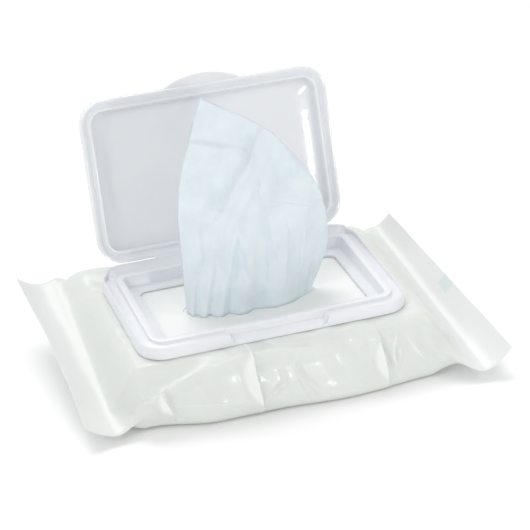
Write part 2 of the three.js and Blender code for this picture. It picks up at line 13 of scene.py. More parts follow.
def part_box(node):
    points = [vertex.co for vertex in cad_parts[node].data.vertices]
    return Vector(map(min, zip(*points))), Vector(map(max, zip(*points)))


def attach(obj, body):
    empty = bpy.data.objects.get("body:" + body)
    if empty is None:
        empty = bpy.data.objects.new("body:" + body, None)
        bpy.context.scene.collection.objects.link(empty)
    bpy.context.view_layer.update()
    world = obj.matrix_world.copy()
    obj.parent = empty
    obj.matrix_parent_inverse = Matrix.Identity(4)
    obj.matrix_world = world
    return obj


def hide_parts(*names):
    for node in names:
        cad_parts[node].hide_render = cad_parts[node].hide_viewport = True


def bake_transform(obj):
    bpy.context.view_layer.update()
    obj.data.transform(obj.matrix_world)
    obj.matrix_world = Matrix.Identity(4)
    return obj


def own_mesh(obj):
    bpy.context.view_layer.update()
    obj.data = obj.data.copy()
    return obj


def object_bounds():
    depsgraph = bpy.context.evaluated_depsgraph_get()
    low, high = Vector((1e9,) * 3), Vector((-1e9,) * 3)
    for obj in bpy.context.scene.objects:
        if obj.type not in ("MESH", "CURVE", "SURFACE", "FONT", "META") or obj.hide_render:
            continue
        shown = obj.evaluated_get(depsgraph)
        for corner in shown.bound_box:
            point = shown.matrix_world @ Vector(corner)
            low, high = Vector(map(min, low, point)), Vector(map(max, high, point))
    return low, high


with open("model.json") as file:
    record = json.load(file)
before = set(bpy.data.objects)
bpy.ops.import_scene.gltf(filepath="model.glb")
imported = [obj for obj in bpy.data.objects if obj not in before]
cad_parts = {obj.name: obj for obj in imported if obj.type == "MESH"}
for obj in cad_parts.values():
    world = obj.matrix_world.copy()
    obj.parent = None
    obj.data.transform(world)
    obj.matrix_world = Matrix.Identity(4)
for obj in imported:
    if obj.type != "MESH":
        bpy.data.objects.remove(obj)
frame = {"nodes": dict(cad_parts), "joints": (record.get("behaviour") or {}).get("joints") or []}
cad_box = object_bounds()
MM = 0.001

# %% [markdown]
# The camera stands where a camera fitted to the edges of the lid and its frame says: seen from the
# left of the front, a good metre away, 28 degrees above the table. A long lens keeps the packet's
# edges nearly parallel, as a product photographer would have it.

# %% Camera
CAMERA_AZIMUTH = math.radians(-17.61)
CAMERA_ELEVATION = math.radians(27.939)
CAMERA_ROLL = math.radians(-2.64)
CAMERA_DISTANCE = 1094.187 * MM
CAMERA_ASIDE = 6.931 * MM
CAMERA_ABOVE = 16.838 * MM
SENSOR_WIDTH = 36.0
FOCAL_PIXELS = 2000
IMAGE_WIDTH = 530
FRAME_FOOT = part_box("lid_frame")[0].z

backwards = Vector((
    math.sin(CAMERA_AZIMUTH) * math.cos(CAMERA_ELEVATION),
    -math.cos(CAMERA_AZIMUTH) * math.cos(CAMERA_ELEVATION),
    math.sin(CAMERA_ELEVATION),
))
level_right = Vector((math.cos(CAMERA_AZIMUTH), math.sin(CAMERA_AZIMUTH), 0))
level_up = backwards.cross(level_right)
right = level_right * math.cos(CAMERA_ROLL) + level_up * math.sin(CAMERA_ROLL)
up = level_up * math.cos(CAMERA_ROLL) - level_right * math.sin(CAMERA_ROLL)
place = backwards * CAMERA_DISTANCE + right * CAMERA_ASIDE + up * CAMERA_ABOVE + Vector((0, 0, FRAME_FOOT))

camera = bpy.data.objects.new("camera", bpy.data.cameras.new("camera"))
camera.data.sensor_width = SENSOR_WIDTH
camera.data.lens = FOCAL_PIXELS / IMAGE_WIDTH * SENSOR_WIDTH
camera.matrix_world = Matrix((
    (right.x, up.x, backwards.x, place.x),
    (right.y, up.y, backwards.y, place.y),
    (right.z, up.z, backwards.z, place.z),
    (0, 0, 0, 1),
))
bpy.context.scene.collection.objects.link(camera)
bpy.context.scene.camera = camera
print("camera lens:", round(camera.data.lens, 1), "mm")

# %% [markdown]
# A few small helpers make every material. One turns a colour as a designer writes it, in sRGB hex,
# to the linear numbers that a shader wants. Another adds one node with its settings and links. The
# rest are short words for what the materials share: sums, noise, mixed colours and bumps.

# %% Helpers for materials
def linear(code):
    """Linear colour of an sRGB hex code such as #E8EAF0."""
    shares = [int(code[i:i + 2], 16) / 255 for i in (1, 3, 5)]
    return (*(s / 12.92 if s <= 0.04045 else ((s + 0.055) / 1.055) ** 2.4 for s in shares), 1.0)


def add(tree, kind, settings=None, **inputs):
    """One node. Settings are its own properties; an input is a value or another node's output."""
    made = tree.nodes.new(kind)
    for name, value in (settings or {}).items():
        setattr(made, name, value)
    for name, value in inputs.items():
        key = int(name[1:]) if name[0] == "_" else name.replace("_", " ")
        socket = made.inputs[key]
        if isinstance(value, bpy.types.NodeSocket):
            tree.links.new(value, socket)
        else:
            socket.default_value = value
    return made


def new_material(name, **surface):
    """A material with its Principled shader; returns the material, its tree and the shader."""
    material = bpy.data.materials.new(name)
    material.use_nodes = True
    tree = material.node_tree
    shader = tree.nodes["Principled BSDF"]
    for socket, value in surface.items():
        shader.inputs[socket.replace("_", " ")].default_value = value
    return material, tree, shader


def worked(tree, operation, *values, kind="Math"):
    """Output of a node that does sums, or of its kind for vectors, with its values in order."""
    inputs = {f"_{i}": value for i, value in enumerate(values)}
    made = add(tree, "ShaderNode" + kind, {"operation": operation}, **inputs)
    return made.outputs["Value" if operation == "DOT_PRODUCT" else 0]


def noise(tree, where, size_mm, detail=2.0, **more):
    """Soft noise whose lumps are about so many millimetres."""
    return add(tree, "ShaderNodeTexNoise", Vector=where, Scale=1 / (size_mm * MM), Detail=detail,
               **more).outputs["Fac"]


def mixed(tree, factor, low, high):
    """A colour between two, each an sRGB code or another node's output."""
    low, high = (linear(c) if isinstance(c, str) else c for c in (low, high))
    return add(tree, "ShaderNodeMix", {"data_type": "RGBA"}, _0=factor, _6=low, _7=high).outputs[2]


def dress(tree, shader, colour, bumps=None, strength=0.0, distance=0.0):
    """Gives a shader its colour, and its surface small bumps."""
    tree.links.new(colour, shader.inputs["Base Color"])
    if bumps:
        bump = add(tree, "ShaderNodeBump", Strength=strength, Distance=distance, Height=bumps)
        for socket in ("Normal", "Coat Normal"):
            tree.links.new(bump.outputs["Normal"], shader.inputs[socket])


def object_place(tree):
    return add(tree, "ShaderNodeTexCoord").outputs["Object"]


# %% [markdown]
# The lid and its frame are one shot of white polypropylene. The mould is polished, so the plastic
# has a soft gloss; it shrinks a little unevenly as it cools, which shows as a faint ripple, and the
# panel of the lid has a slightly cloudy look. The blue-violet cast is the brightener in the plastic.

# %% Moulded polypropylene
RIPPLE_MM = 9
RIPPLE_HEIGHT = 0.4 * MM
CLOUD_MM = 26


def moulded_polypropylene(name, low, high, roughness, ripple):
    material, tree, shader = new_material(
        name, Roughness=roughness, IOR=1.49, Subsurface_Weight=0.08, Subsurface_Scale=1.5 * MM)
    where = object_place(tree)
    dress(tree, shader, mixed(tree, noise(tree, where, CLOUD_MM), low, high),
          noise(tree, where, RIPPLE_MM, 3.0), ripple, RIPPLE_HEIGHT)
    return material


# The lid's copy is a little lighter than the frame's: painted light, making up for the less light its
# standing face gets.
lid_plastic = moulded_polypropylene("lid moulded polypropylene", "#EAECF0", "#F1F3F5", 0.14, 0.3)
frame_plastic = moulded_polypropylene("frame moulded polypropylene", "#E6E8ED", "#EEF0F3", 0.3, 0.12)
print("made", lid_plastic.name, "and", frame_plastic.name)

# %% [markdown]
# The packet is a printed laminate: a polyester skin over white polyethylene, printed in a pale green
# that stops short of the sealed ends. It is glossy, and light enters it a little, so its folds glow
# instead of going dark. A small pale block of print sits on the right seal, and a window of the film
# inside the frame is bare. Beside the sharp folds of the front a highlight is painted into the colour,
# in pale leaves where the facets would catch the light.

# %% Printed laminate film
SEAL_BAND_X = 99 * MM
BAND_SOFTNESS = 14 * MM
CRINKLE_MM = 5
CRINKLE_HEIGHT = 0.5 * MM
PRINT_BLOCK = ((115 * MM, -4 * MM, 26 * MM), (4.5 * MM, 5 * MM, 12 * MM))
BARE_WINDOW = ((0, -1.5 * MM, 0), (66 * MM, 38 * MM, 1))
# Where a highlight is painted on the film's front: a leaf beside each sharp fold's line.
PAINTED_HIGHLIGHT_FOLDS = (
    # top and bottom as x and height, and how far the painted highlight reaches to the left, in mm
    ((-20, 39.5), (-16.5, 7), 7.5), ((-77, 22), (-49, 33), 1.1), ((-54, 31), (-19, 39.5), 1.1),
    ((-22, 39), (10, 34.5), -0.9), ((-71, 25), (-64, 10), 4.5), ((2, 26), (9, 10), 0.8),
    ((-12, 13), (-3, 18), 0.8), ((-4, 20), (-3, 12), 0.6), ((11, 14), (15, 9), 0.6),
    ((51.5, 30), (54, 7), 6.0), ((57, 24), (60, 13), 1.6), ((62, 32), (58, 20), 1.6),
    ((64, 24), (61, 15), 0.7), ((66, 30), (77, 12), 1.6), ((-68, 15), (-18, 11.5), 0.5),
)
LEAF_BULGE = 4
LEAF_FADE = (-0.2 * MM, 2.2 * MM)
LINE_FADE = 0.5 * MM
FOLD_FRONT = -46 * MM
# How far the painted highlight lightens the film towards near white.
FOLD_HIGHLIGHT_STRENGTH = 0.6


def painted_fold_highlight(tree, where):
    """1 where a highlight is painted beside a sharp fold of the film's front: a leaf left of its line."""
    total = 0.0
    for (x0, z0), (x1, z1), reach in PAINTED_HIGHLIGHT_FOLDS:
        way = Vector((x1 - x0, 0, z1 - z0)) * MM
        across = Vector((-way.z, 0, way.x)).normalized() * (1 if reach > 0 else -1)
        off = worked(tree, "SUBTRACT", where, (x0 * MM, 0, z0 * MM), kind="VectorMath")
        along = worked(tree, "DOT_PRODUCT", off, way / way.length_squared, kind="VectorMath")
        aside = worked(tree, "DOT_PRODUCT", off, across, kind="VectorMath")
        leaf = worked(tree, "MULTIPLY", along, worked(tree, "SUBTRACT", 1.0, along))
        margin = worked(tree, "MULTIPLY_ADD", leaf, LEAF_BULGE * abs(reach) * MM, aside)
        left = add(tree, "ShaderNodeMapRange", Value=margin, From_Min=LEAF_FADE[0], From_Max=LEAF_FADE[1])
        line = add(tree, "ShaderNodeMapRange", Value=aside, From_Min=LINE_FADE, From_Max=0.0)
        inside = worked(tree, "MULTIPLY", left.outputs[0], line.outputs[0])
        mark = worked(tree, "MULTIPLY", inside, worked(tree, "GREATER_THAN", leaf, 0.0))
        total = worked(tree, "MAXIMUM", total, mark)
    depth = add(tree, "ShaderNodeSeparateXYZ", Vector=where).outputs["Y"]
    return worked(tree, "MULTIPLY", total, worked(tree, "LESS_THAN", depth, FOLD_FRONT))


def within(tree, where, block):
    """1 inside a block's length and depth, given as its middle and half size, and 0 outside."""
    middle, half = block
    offset = worked(tree, "SUBTRACT", where, middle, kind="VectorMath")
    share = worked(tree, "DIVIDE", offset, half, kind="VectorMath")
    size = worked(tree, "ABSOLUTE", share, kind="VectorMath")
    sides = add(tree, "ShaderNodeSeparateXYZ", Vector=size)
    return worked(tree, "LESS_THAN", worked(tree, "MAXIMUM", sides.outputs["X"], sides.outputs["Y"]), 1.0)


def printed_laminate():
    material, tree, shader = new_material(
        "printed laminate film", Roughness=0.4, IOR=1.5, Subsurface_Weight=0.1, Subsurface_Scale=3 * MM,
        Coat_Weight=0.22, Coat_Roughness=0.12)
    where = object_place(tree)
    axes = add(tree, "ShaderNodeSeparateXYZ", Vector=where)
    band = add(tree, "ShaderNodeMapRange", {"interpolation_type": "SMOOTHSTEP"},
               Value=worked(tree, "ABSOLUTE", axes.outputs["X"]),
               From_Min=SEAL_BAND_X - BAND_SOFTNESS, From_Max=SEAL_BAND_X + BAND_SOFTNESS)
    body = mixed(tree, noise(tree, where, CLOUD_MM), "#DBDFDA", "#E4E8E4")
    ends = mixed(tree, band.outputs[0], body, "#E4E7E7")
    printed = mixed(tree, within(tree, where, PRINT_BLOCK), ends, "#D6E2E2")
    bare = mixed(tree, within(tree, where, BARE_WINDOW), printed, "#F3F5F3")
    # Painted highlight: beside the sharp folds of the front, the film's colour goes towards near white.
    white = worked(tree, "MULTIPLY", painted_fold_highlight(tree, where), FOLD_HIGHLIGHT_STRENGTH)
    crinkle = noise(tree, where, CRINKLE_MM, 4.0, Roughness=0.6, Distortion=0.6)
    dress(tree, shader, mixed(tree, white, bare, "#F8FBF9"), crinkle, 0.22, CRINKLE_HEIGHT)
    return material


film_laminate = printed_laminate()
print("made", film_laminate.name)

# %% [markdown]
# A wipe is spunlace: a web of viscose and polyester fibres tangled by fine water jets. It has no
# weave, only a faint grain along the machine's direction and small clouds of thicker fibre, and when
# moist it is soft, a little see-through and pale blue.

# %% Moist spunlace fleece
FIBRE_MM = 0.9
FIBRE_STRETCH = 5
FIBRE_HEIGHT = 0.25 * MM
THICKER_MM = 15


def spunlace(name, low, high, across_fibres=1.0):
    material, tree, shader = new_material(
        name, Roughness=0.7, IOR=1.4, Subsurface_Weight=0.12, Subsurface_Scale=1 * MM)
    where = object_place(tree)
    drawn = add(tree, "ShaderNodeMapping", Vector=where, Scale=(1, 1, across_fibres / FIBRE_STRETCH))
    dress(tree, shader, mixed(tree, noise(tree, where, THICKER_MM, 4.0), low, high),
          noise(tree, drawn.outputs[0], FIBRE_MM, 3.0), 0.35, FIBRE_HEIGHT)
    return material


moist_fleece = spunlace("moist spunlace fleece", "#D2DCE3", "#EDF5F7")
folded_fleece = spunlace("folded spunlace fleece", "#DCE8EC", "#E6EFF2", FIBRE_STRETCH)
print("made", moist_fleece.name, "and", folded_fleece.name)

# %% [markdown]
# The glue between film and frame is a hot melt, laid as a flat bead: pale, smooth and waxy.

# %% Hot-melt glue
glue_wax, glue_tree, glue_shader = new_material("hot-melt glue", Roughness=0.45, IOR=1.48)
dress(glue_tree, glue_shader, mixed(glue_tree, noise(glue_tree, object_place(glue_tree), CRINKLE_MM),
                                    "#EBEBDD", "#F4F4EA"))
print("made", glue_wax.name)

# %% [markdown]
# Most pieces here are lofts: rows of points, all with as many points, joined by four-sided faces.
# One helper makes the mesh of such a grid, closed round each row or open, with caps or without.

# %% Helper for lofted meshes
def loft(name, rows, round_row=True, closed=False, smooth_angle=40):
    """A mesh through rows of points. A closed loft joins its last row to its first; one that isn't
    closed but goes round each row gets a cap at both ends."""
    rows = [[tuple(point) for point in row] for row in rows]
    width = len(rows[0])
    faces = []
    for i in range(len(rows) if closed else len(rows) - 1):
        j = (i + 1) % len(rows)
        for k in range(width if round_row else width - 1):
            n = (k + 1) % width
            faces.append((i * width + k, i * width + n, j * width + n, j * width + k))
    if round_row and not closed:
        faces.append(tuple(reversed(range(width))))
        faces.append(tuple((len(rows) - 1) * width + k for k in range(width)))
    mesh = bpy.data.meshes.new(name)
    mesh.from_pydata([point for row in rows for point in row], [], faces)
    mesh.update()
    piece = bpy.data.objects.new(name, mesh)
    bpy.context.scene.collection.objects.link(piece)
    finish_faces(piece, smooth_angle)
    return piece


def finish_faces(piece, smooth_angle=40):
    """Turns the faces outwards and shades them smoothly, with hard edges where they bend sharply."""
    work = bmesh.new()
    work.from_mesh(piece.data)
    bmesh.ops.remove_doubles(work, verts=work.verts, dist=0.002 * MM)
    bmesh.ops.recalc_face_normals(work, faces=work.faces)
    work.to_mesh(piece.data)
    work.free()
    piece.data.shade_smooth()
    piece.data.set_sharp_from_angle(angle=math.radians(smooth_angle))


def give_material(piece, material):
    piece.data.materials.clear()
    piece.data.materials.append(material)


def baked(piece):
    """The piece with its modifiers worked into its mesh."""
    bpy.context.view_layer.update()
    evaluated = piece.evaluated_get(bpy.context.evaluated_depsgraph_get())
    mesh = bpy.data.meshes.new_from_object(evaluated)
    piece.modifiers.clear()
    piece.data = mesh
    return piece


def joined(piece, other, operation="UNION"):
    """The piece with another one joined to it or cut from it."""
    change = piece.modifiers.new("join", "BOOLEAN")
    change.operation = operation
    change.solver = "EXACT"
    change.object = other
    baked(piece)
    bpy.data.objects.remove(other)
    finish_faces(piece)
    return piece


SIDE_POINTS_LONG = 84
SIDE_POINTS_SHORT = 30
CORNER_STEPS = 12


def round_rectangle(left, right_side, front, back, radius):
    """Points of a rectangle with round corners, anticlockwise from the back right corner. However long
    its sides are, each has the same number of points, so that rows match."""
    corners = ((right_side, back, 0), (left, back, 1), (left, front, 2), (right_side, front, 3))
    centres = [(x + (radius if x == left else -radius), y + (radius if y == front else -radius), q)
               for x, y, q in corners]
    counts = (SIDE_POINTS_LONG, SIDE_POINTS_SHORT, SIDE_POINTS_LONG, SIDE_POINTS_SHORT)
    points = []
    for (cx, cy, quarter), count in zip(centres, counts):
        arc = [(cx + radius * math.cos(a), cy + radius * math.sin(a))
               for a in (math.pi / 2 * (quarter + s / CORNER_STEPS) for s in range(CORNER_STEPS + 1))]
        points += arc
        nx, ny, next_quarter = centres[(quarter + 1) % 4]
        start_angle = math.pi / 2 * next_quarter
        end = (nx + radius * math.cos(start_angle), ny + radius * math.sin(start_angle))
        for s in range(1, count):
            share = s / count
            points.append((arc[-1][0] + (end[0] - arc[-1][0]) * share,
                           arc[-1][1] + (end[1] - arc[-1][1]) * share))
    return points


def smoothstep(value, low, high):
    share = np.clip((np.asarray(value, float) - low) / (high - low), 0, 1)
    return share * share * (3 - 2 * share)


# %% [markdown]
# The frame of the flip-top is a shallow moulding with a fine outer lip, a ledge for the lid's skirt,
# a low ridge that seals against the lid, and a recess with a floor and a window. It is drawn here as
# one closed loft: each row is a round-cornered rectangle at its own inset, and its height changes
# along the row, so that the lip slopes, the back wall rises to the hinge and the scoop dips.

# %% Lid frame
FRAME_LENGTH = 150 * MM
FRAME_DEPTH = 95.4 * MM
FRAME_RADIUS = 14 * MM
HINGE = Vector(frame["joints"][0]["pos_m"])
BACK_WALL = HINGE.z - FRAME_FOOT - 0.4 * MM
LIP_FRONT = 6.4 * MM
LIP_BACK = 7.8 * MM
LEDGE = 5 * MM
RIDGE_BOX = (-68.2 * MM, 68.2 * MM, -41 * MM, 38 * MM)
RIDGE_RADIUS = 8 * MM
RIDGE_WIDTH = 4.6 * MM
FLOOR = 1.6 * MM
FLOOR_WIDTH = 6.4 * MM
SCOOP_FOOT = 46 * MM
SCOOP_TOP = 54 * MM
SCOOP_LOW = 0.9 * MM
SCOOP_HIGH = 3.0 * MM
SCOOP_EDGE = 0.4 * MM
CLOSED_SLOPE = math.tan(math.radians(2))
RIDGE_RISE = 1.2 * MM
WALL_FOOT = 6.2 * MM
WALL_HEAD = 4.9 * MM
EDGE_ROUNDING = 0.5 * MM
WINDOW_RADIUS = 5 * MM


def shrink(box, by):
    left, right_side, front, back = box
    return (left + by, right_side - by, front + by, back - by)


FRAME_BOX = (-FRAME_LENGTH / 2, FRAME_LENGTH / 2, -FRAME_DEPTH / 2, FRAME_DEPTH / 2)


def lip_height(y):
    return LIP_FRONT + (LIP_BACK - LIP_FRONT) * (y + FRAME_DEPTH / 2) / FRAME_DEPTH


def ridge_height(y):
    to_front = (RIDGE_BOX[3] - y) / (RIDGE_BOX[3] - RIDGE_BOX[2])
    return BACK_WALL - (HINGE.y - y) * CLOSED_SLOPE + RIDGE_RISE * to_front


def in_scoop(x, y, height):
    """1 inside the thumb scoop, 0 outside; the scoop widens upwards."""
    half = (SCOOP_FOOT + (SCOOP_TOP - SCOOP_FOOT) * height / LIP_FRONT) / 2
    if y >= RIDGE_BOX[2] + 0.1 * MM:
        return 0
    return 1 - float(smoothstep(abs(x), half - SCOOP_EDGE, half + SCOOP_EDGE))


def scoop_floor(y):
    share = (y + FRAME_DEPTH / 2) / (RIDGE_BOX[2] + FRAME_DEPTH / 2)
    return SCOOP_LOW + (SCOOP_HIGH - SCOOP_LOW) * min(max(share, 0), 1)


def back_wall(y, height):
    """Height of the frame where its back wall rises from the ledge."""
    rise = float(smoothstep(y, HINGE.y - WALL_FOOT, HINGE.y - WALL_HEAD))
    return height + (BACK_WALL - height) * rise


def frame_row(box, radius, height, shaped=True):
    """A row round a box, at one height or one that follows y; a shaped one rises and dips on its way."""
    row = []
    for x, y in round_rectangle(*box, radius):
        z = height(y) if callable(height) else height
        if shaped and y > 0:
            z = back_wall(y, z)
        if shaped:
            z = z + (min(z, scoop_floor(y)) - z) * in_scoop(x, y, z)
        row.append((x, y, FRAME_FOOT + z))
    return row


def lip_row(inset, less_radius, height):
    return frame_row(shrink(FRAME_BOX, inset), FRAME_RADIUS - less_radius, height)


def ridge_row(inset, radius, height):
    return frame_row(shrink(RIDGE_BOX, inset), radius, height, False)


window_inset = RIDGE_WIDTH + FLOOR_WIDTH
r = EDGE_ROUNDING
inner_radius = RIDGE_RADIUS - RIDGE_WIDTH + r
frame_rows = [
    ridge_row(window_inset, WINDOW_RADIUS, 0),
    frame_row(FRAME_BOX, FRAME_RADIUS, 0, False),
    lip_row(0.2 * MM, 0, lambda y: lip_height(y) * 0.35),
    lip_row(0.45 * MM, 0, lambda y: lip_height(y) * 0.8),
    lip_row(0.7 * MM, 0.5 * MM, lambda y: lip_height(y) - 0.25 * MM),
    lip_row(1.05 * MM, 0.9 * MM, lip_height),
    lip_row(1.4 * MM, 1.3 * MM, lambda y: lip_height(y) - 0.25 * MM),
    lip_row(1.6 * MM, 1.5 * MM, LEDGE + 0.3 * MM),
    lip_row(1.95 * MM, 1.9 * MM, LEDGE),
    frame_row(shrink(RIDGE_BOX, -0.5 * MM), RIDGE_RADIUS + 0.5 * MM, LEDGE),
    ridge_row(0, RIDGE_RADIUS, LEDGE + 0.4 * MM),
    ridge_row(0.15 * MM, RIDGE_RADIUS, lambda y: ridge_height(y) - r),
    ridge_row(0.15 * MM + r * 0.3, RIDGE_RADIUS - r * 0.3, lambda y: ridge_height(y) - r * 0.3),
    ridge_row(0.15 * MM + r, RIDGE_RADIUS - r, ridge_height),
    ridge_row(RIDGE_WIDTH - 2 * r, RIDGE_RADIUS - RIDGE_WIDTH + 2 * r, ridge_height),
    ridge_row(RIDGE_WIDTH - r * 1.2, RIDGE_RADIUS - RIDGE_WIDTH + r * 1.2,
              lambda y: ridge_height(y) - r * 0.4),
    ridge_row(RIDGE_WIDTH - r * 0.9, inner_radius, lambda y: ridge_height(y) - r * 1.2),
    ridge_row(RIDGE_WIDTH + 0.2 * MM, inner_radius, FLOOR + 0.6 * MM),
    ridge_row(RIDGE_WIDTH + 0.7 * MM, inner_radius, FLOOR),
    ridge_row(window_inset - r, 5.2 * MM, FLOOR),
    ridge_row(window_inset, WINDOW_RADIUS, FLOOR - r),
]
lid_frame = loft("lid_frame_moulding", frame_rows, closed=True, smooth_angle=48)
print("lid frame:", len(lid_frame.data.vertices), "points in", len(frame_rows), "rows")

# %% [markdown]
# A latch nub under the thumb scoop snaps into the lid. It is a small rounded bar that is moulded on
# the front face of the ridge.

# %% Latch nub
LATCH = (12 * MM, 1.1 * MM, 1.4 * MM)
LATCH_RADIUS = 0.35 * MM
LATCH_BELOW = 0.3 * MM


def rounded_block(name, size, middle, radius, segments=3):
    """A block with rounded edges: a box whose edges are bevelled."""
    work = bmesh.new()
    bmesh.ops.create_cube(work, size=1)
    bmesh.ops.scale(work, vec=size, verts=work.verts)
    bmesh.ops.bevel(work, geom=work.edges[:], offset=radius, segments=segments, profile=0.5, affect="EDGES")
    bmesh.ops.translate(work, vec=middle, verts=work.verts)
    mesh = bpy.data.meshes.new(name)
    work.to_mesh(mesh)
    work.free()
    block = bpy.data.objects.new(name, mesh)
    bpy.context.scene.collection.objects.link(block)
    return block


latch_z = FRAME_FOOT + ridge_height(RIDGE_BOX[2]) - LATCH_BELOW - LATCH[2] / 2
latch = rounded_block("latch", LATCH, (0, RIDGE_BOX[2] + 0.05 * MM, latch_z), LATCH_RADIUS)
lid_frame = joined(lid_frame, latch)
give_material(lid_frame, frame_plastic)
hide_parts("lid_frame")
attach(lid_frame, "pack")
print("frame with its latch:", len(lid_frame.data.polygons), "faces")

# %% [markdown]
# The lid is a shallow tray. From its back it has a broad rounded shoulder, then the thin rim of the
# skirt, a groove, a fine sealing bead and the recess, whose panel shows here. It is lofted lying flat
# and then turned about the hinge line to where the moulded hinge holds it open.

# %% Lid
LID_OPEN = math.radians(180 - 107.15)
LID_LENGTH = 143.5 * MM
LID_DEPTH = 91.8 * MM
LID_RADIUS = 14 * MM
LID_THICKNESS = 10.6 * MM
LID_BOX = (-LID_LENGTH / 2, LID_LENGTH / 2, 0, LID_DEPTH)
PANEL = 1.5 * MM - LID_THICKNESS
BEAD_LEVEL = -1.2 * MM
SHOULDER = (6 * MM, 7 * MM)
SHOULDER_STEPS = 8
PANEL_INSET = 20 * MM


def lid_row(inset, z):
    radius = max(LID_RADIUS - inset, 1.2 * MM)
    return [(x, y, z) for x, y in round_rectangle(*shrink(LID_BOX, inset), radius)]


shoulder_rows = []
for step in range(SHOULDER_STEPS + 1):
    turn = math.pi / 2 * step / SHOULDER_STEPS
    shoulder_rows.append(lid_row(SHOULDER[0] * (1 - math.sin(turn)),
                                 SHOULDER[1] * (1 - math.cos(turn)) - LID_THICKNESS))
profile = [
    # inset from the lid's edge and level: rim, groove, bead, wall of the recess and panel
    (0.0, -0.9 * MM), (0.12 * MM, -0.35 * MM), (0.5 * MM, 0), (1.3 * MM, -0.05 * MM),
    (1.9 * MM, -0.35 * MM), (2.4 * MM, -0.9 * MM), (2.8 * MM, -1.6 * MM), (3.3 * MM, -2.1 * MM),
    (3.8 * MM, -2.25 * MM),
    (4.3 * MM, -2.1 * MM), (4.6 * MM, -1.7 * MM), (4.85 * MM, -1.35 * MM), (5.3 * MM, BEAD_LEVEL),
    (5.8 * MM, BEAD_LEVEL), (6.25 * MM, -1.4 * MM), (6.5 * MM, -1.9 * MM),
    (6.6 * MM, PANEL + 2.2 * MM), (6.85 * MM, PANEL + 1.1 * MM), (7.5 * MM, PANEL + 0.35 * MM),
    (8.5 * MM, PANEL), (PANEL_INSET, PANEL),
]
lid_rows = [lid_row(PANEL_INSET, -LID_THICKNESS)] + shoulder_rows + [lid_row(*step) for step in profile]
lid = loft("lid_moulding", lid_rows, smooth_angle=60)
print("lid:", len(lid.data.vertices), "points")

# %% [markdown]
# The thumb tab is a segment of a circle that stands out of the lid's far edge. Its edge is rounded.

# %% Thumb tab
TAB_WIDTH = 46 * MM
TAB_REACH = 5.8 * MM
TAB_OVERLAP = 1.5 * MM
TAB_POINTS = 41
TAB_LEVELS = (
    # level and inset of its rounded edge, in mm
    (-2.6, 1.2), (-2.5, 0.45), (-2.2, 0.1), (-1.9, 0.0), (-1.6, 0.0), (-1.3, 0.1), (-1.05, 0.45),
    (-1.0, 1.2),
)
tab_radius = (TAB_WIDTH ** 2 / 4 + TAB_REACH ** 2) / (2 * TAB_REACH)
tab_half = math.asin(TAB_WIDTH / 2 / tab_radius)
tab_rows = []
for level, inset in TAB_LEVELS:
    reach = tab_radius - inset * MM
    arc = [(reach * math.sin(a), LID_DEPTH + TAB_REACH - tab_radius + reach * math.cos(a), level * MM)
           for a in np.linspace(tab_half, -tab_half, TAB_POINTS)]
    root = LID_DEPTH - TAB_OVERLAP
    tab_rows.append([*arc, (-TAB_WIDTH / 2, root, level * MM), (TAB_WIDTH / 2, root, level * MM)])
tab = loft("tab", tab_rows)
lid = joined(lid, tab)

LID_TURN = Matrix.Translation(HINGE) @ Matrix.Rotation(LID_OPEN, 4, "X")
lid.data.transform(LID_TURN)
give_material(lid, lid_plastic)
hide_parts("lid")
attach(lid, "lid")
print("lid with its tab:", len(lid.data.polygons), "faces")

# %% [markdown]
# The living hinge is a thin web of the same plastic. It starts at the frame's back wall and ends at
# the lid's edge, and bends between them.

# %% Living hinge
HINGE_WIDTH = 82 * MM
WEB_THICKNESS = 0.35 * MM
web_start = Vector((0, HINGE.y - 1.0 * MM, HINGE.z - 0.75 * MM))
web_end = LID_TURN @ Vector((0, 1.1 * MM, -0.85 * MM))
WEB_BOW = Vector((0, -0.7 * MM, 0.35 * MM))
WEB_STEPS = 12


def swept_web_tree():
    """A tree that sweeps a thin rectangle along a short bent path, the way of the web's bend."""
    tree = bpy.data.node_groups.new("web swept along its bend", "GeometryNodeTree")
    face = tree.interface
    face.new_socket("Geometry", in_out="OUTPUT", socket_type="NodeSocketGeometry")
    for name, kind in (("Start", "Vector"), ("Middle", "Vector"), ("End", "Vector"), ("Width", "Float"),
                       ("Thickness", "Float"), ("Material", "Material")):
        face.new_socket(name, in_out="INPUT", socket_type="NodeSocket" + kind)
    given = tree.nodes.new("NodeGroupInput")
    path = add(tree, "GeometryNodeCurveQuadraticBezier", Resolution=WEB_STEPS, Start=given.outputs["Start"],
               Middle=given.outputs["Middle"], End=given.outputs["End"])
    outline = add(tree, "GeometryNodeCurvePrimitiveQuadrilateral", Width=given.outputs["Width"],
                  Height=given.outputs["Thickness"])
    swept = add(tree, "GeometryNodeCurveToMesh", Curve=path.outputs[0], Profile_Curve=outline.outputs[0],
                Fill_Caps=True)
    plain = add(tree, "GeometryNodeRealizeInstances", Geometry=swept.outputs[0])
    dressed = add(tree, "GeometryNodeSetMaterial", Geometry=plain.outputs[0],
                  Material=given.outputs["Material"])
    result = tree.nodes.new("NodeGroupOutput")
    tree.links.new(dressed.outputs[0], result.inputs[0])
    return tree


web = bpy.data.objects.new("hinge_web", bpy.data.meshes.new("hinge_web"))
bpy.context.scene.collection.objects.link(web)
sweep = web.modifiers.new("sweep", "NODES")
sweep.node_group = swept_web_tree()
wanted = {"Start": web_start, "Middle": (web_start + web_end) / 2 + WEB_BOW, "End": web_end,
          "Width": HINGE_WIDTH, "Thickness": WEB_THICKNESS, "Material": frame_plastic}
for item in sweep.node_group.interface.items_tree:
    if item.in_out == "INPUT":
        sweep[item.identifier] = wanted[item.name]
baked(web)
finish_faces(web)
web_points = np.array([vertex.co for vertex in web.data.vertices])
print("web of the hinge:", np.round(np.ptp(web_points, axis=0) / MM, 2), "mm")
give_material(web, frame_plastic)
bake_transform(web)

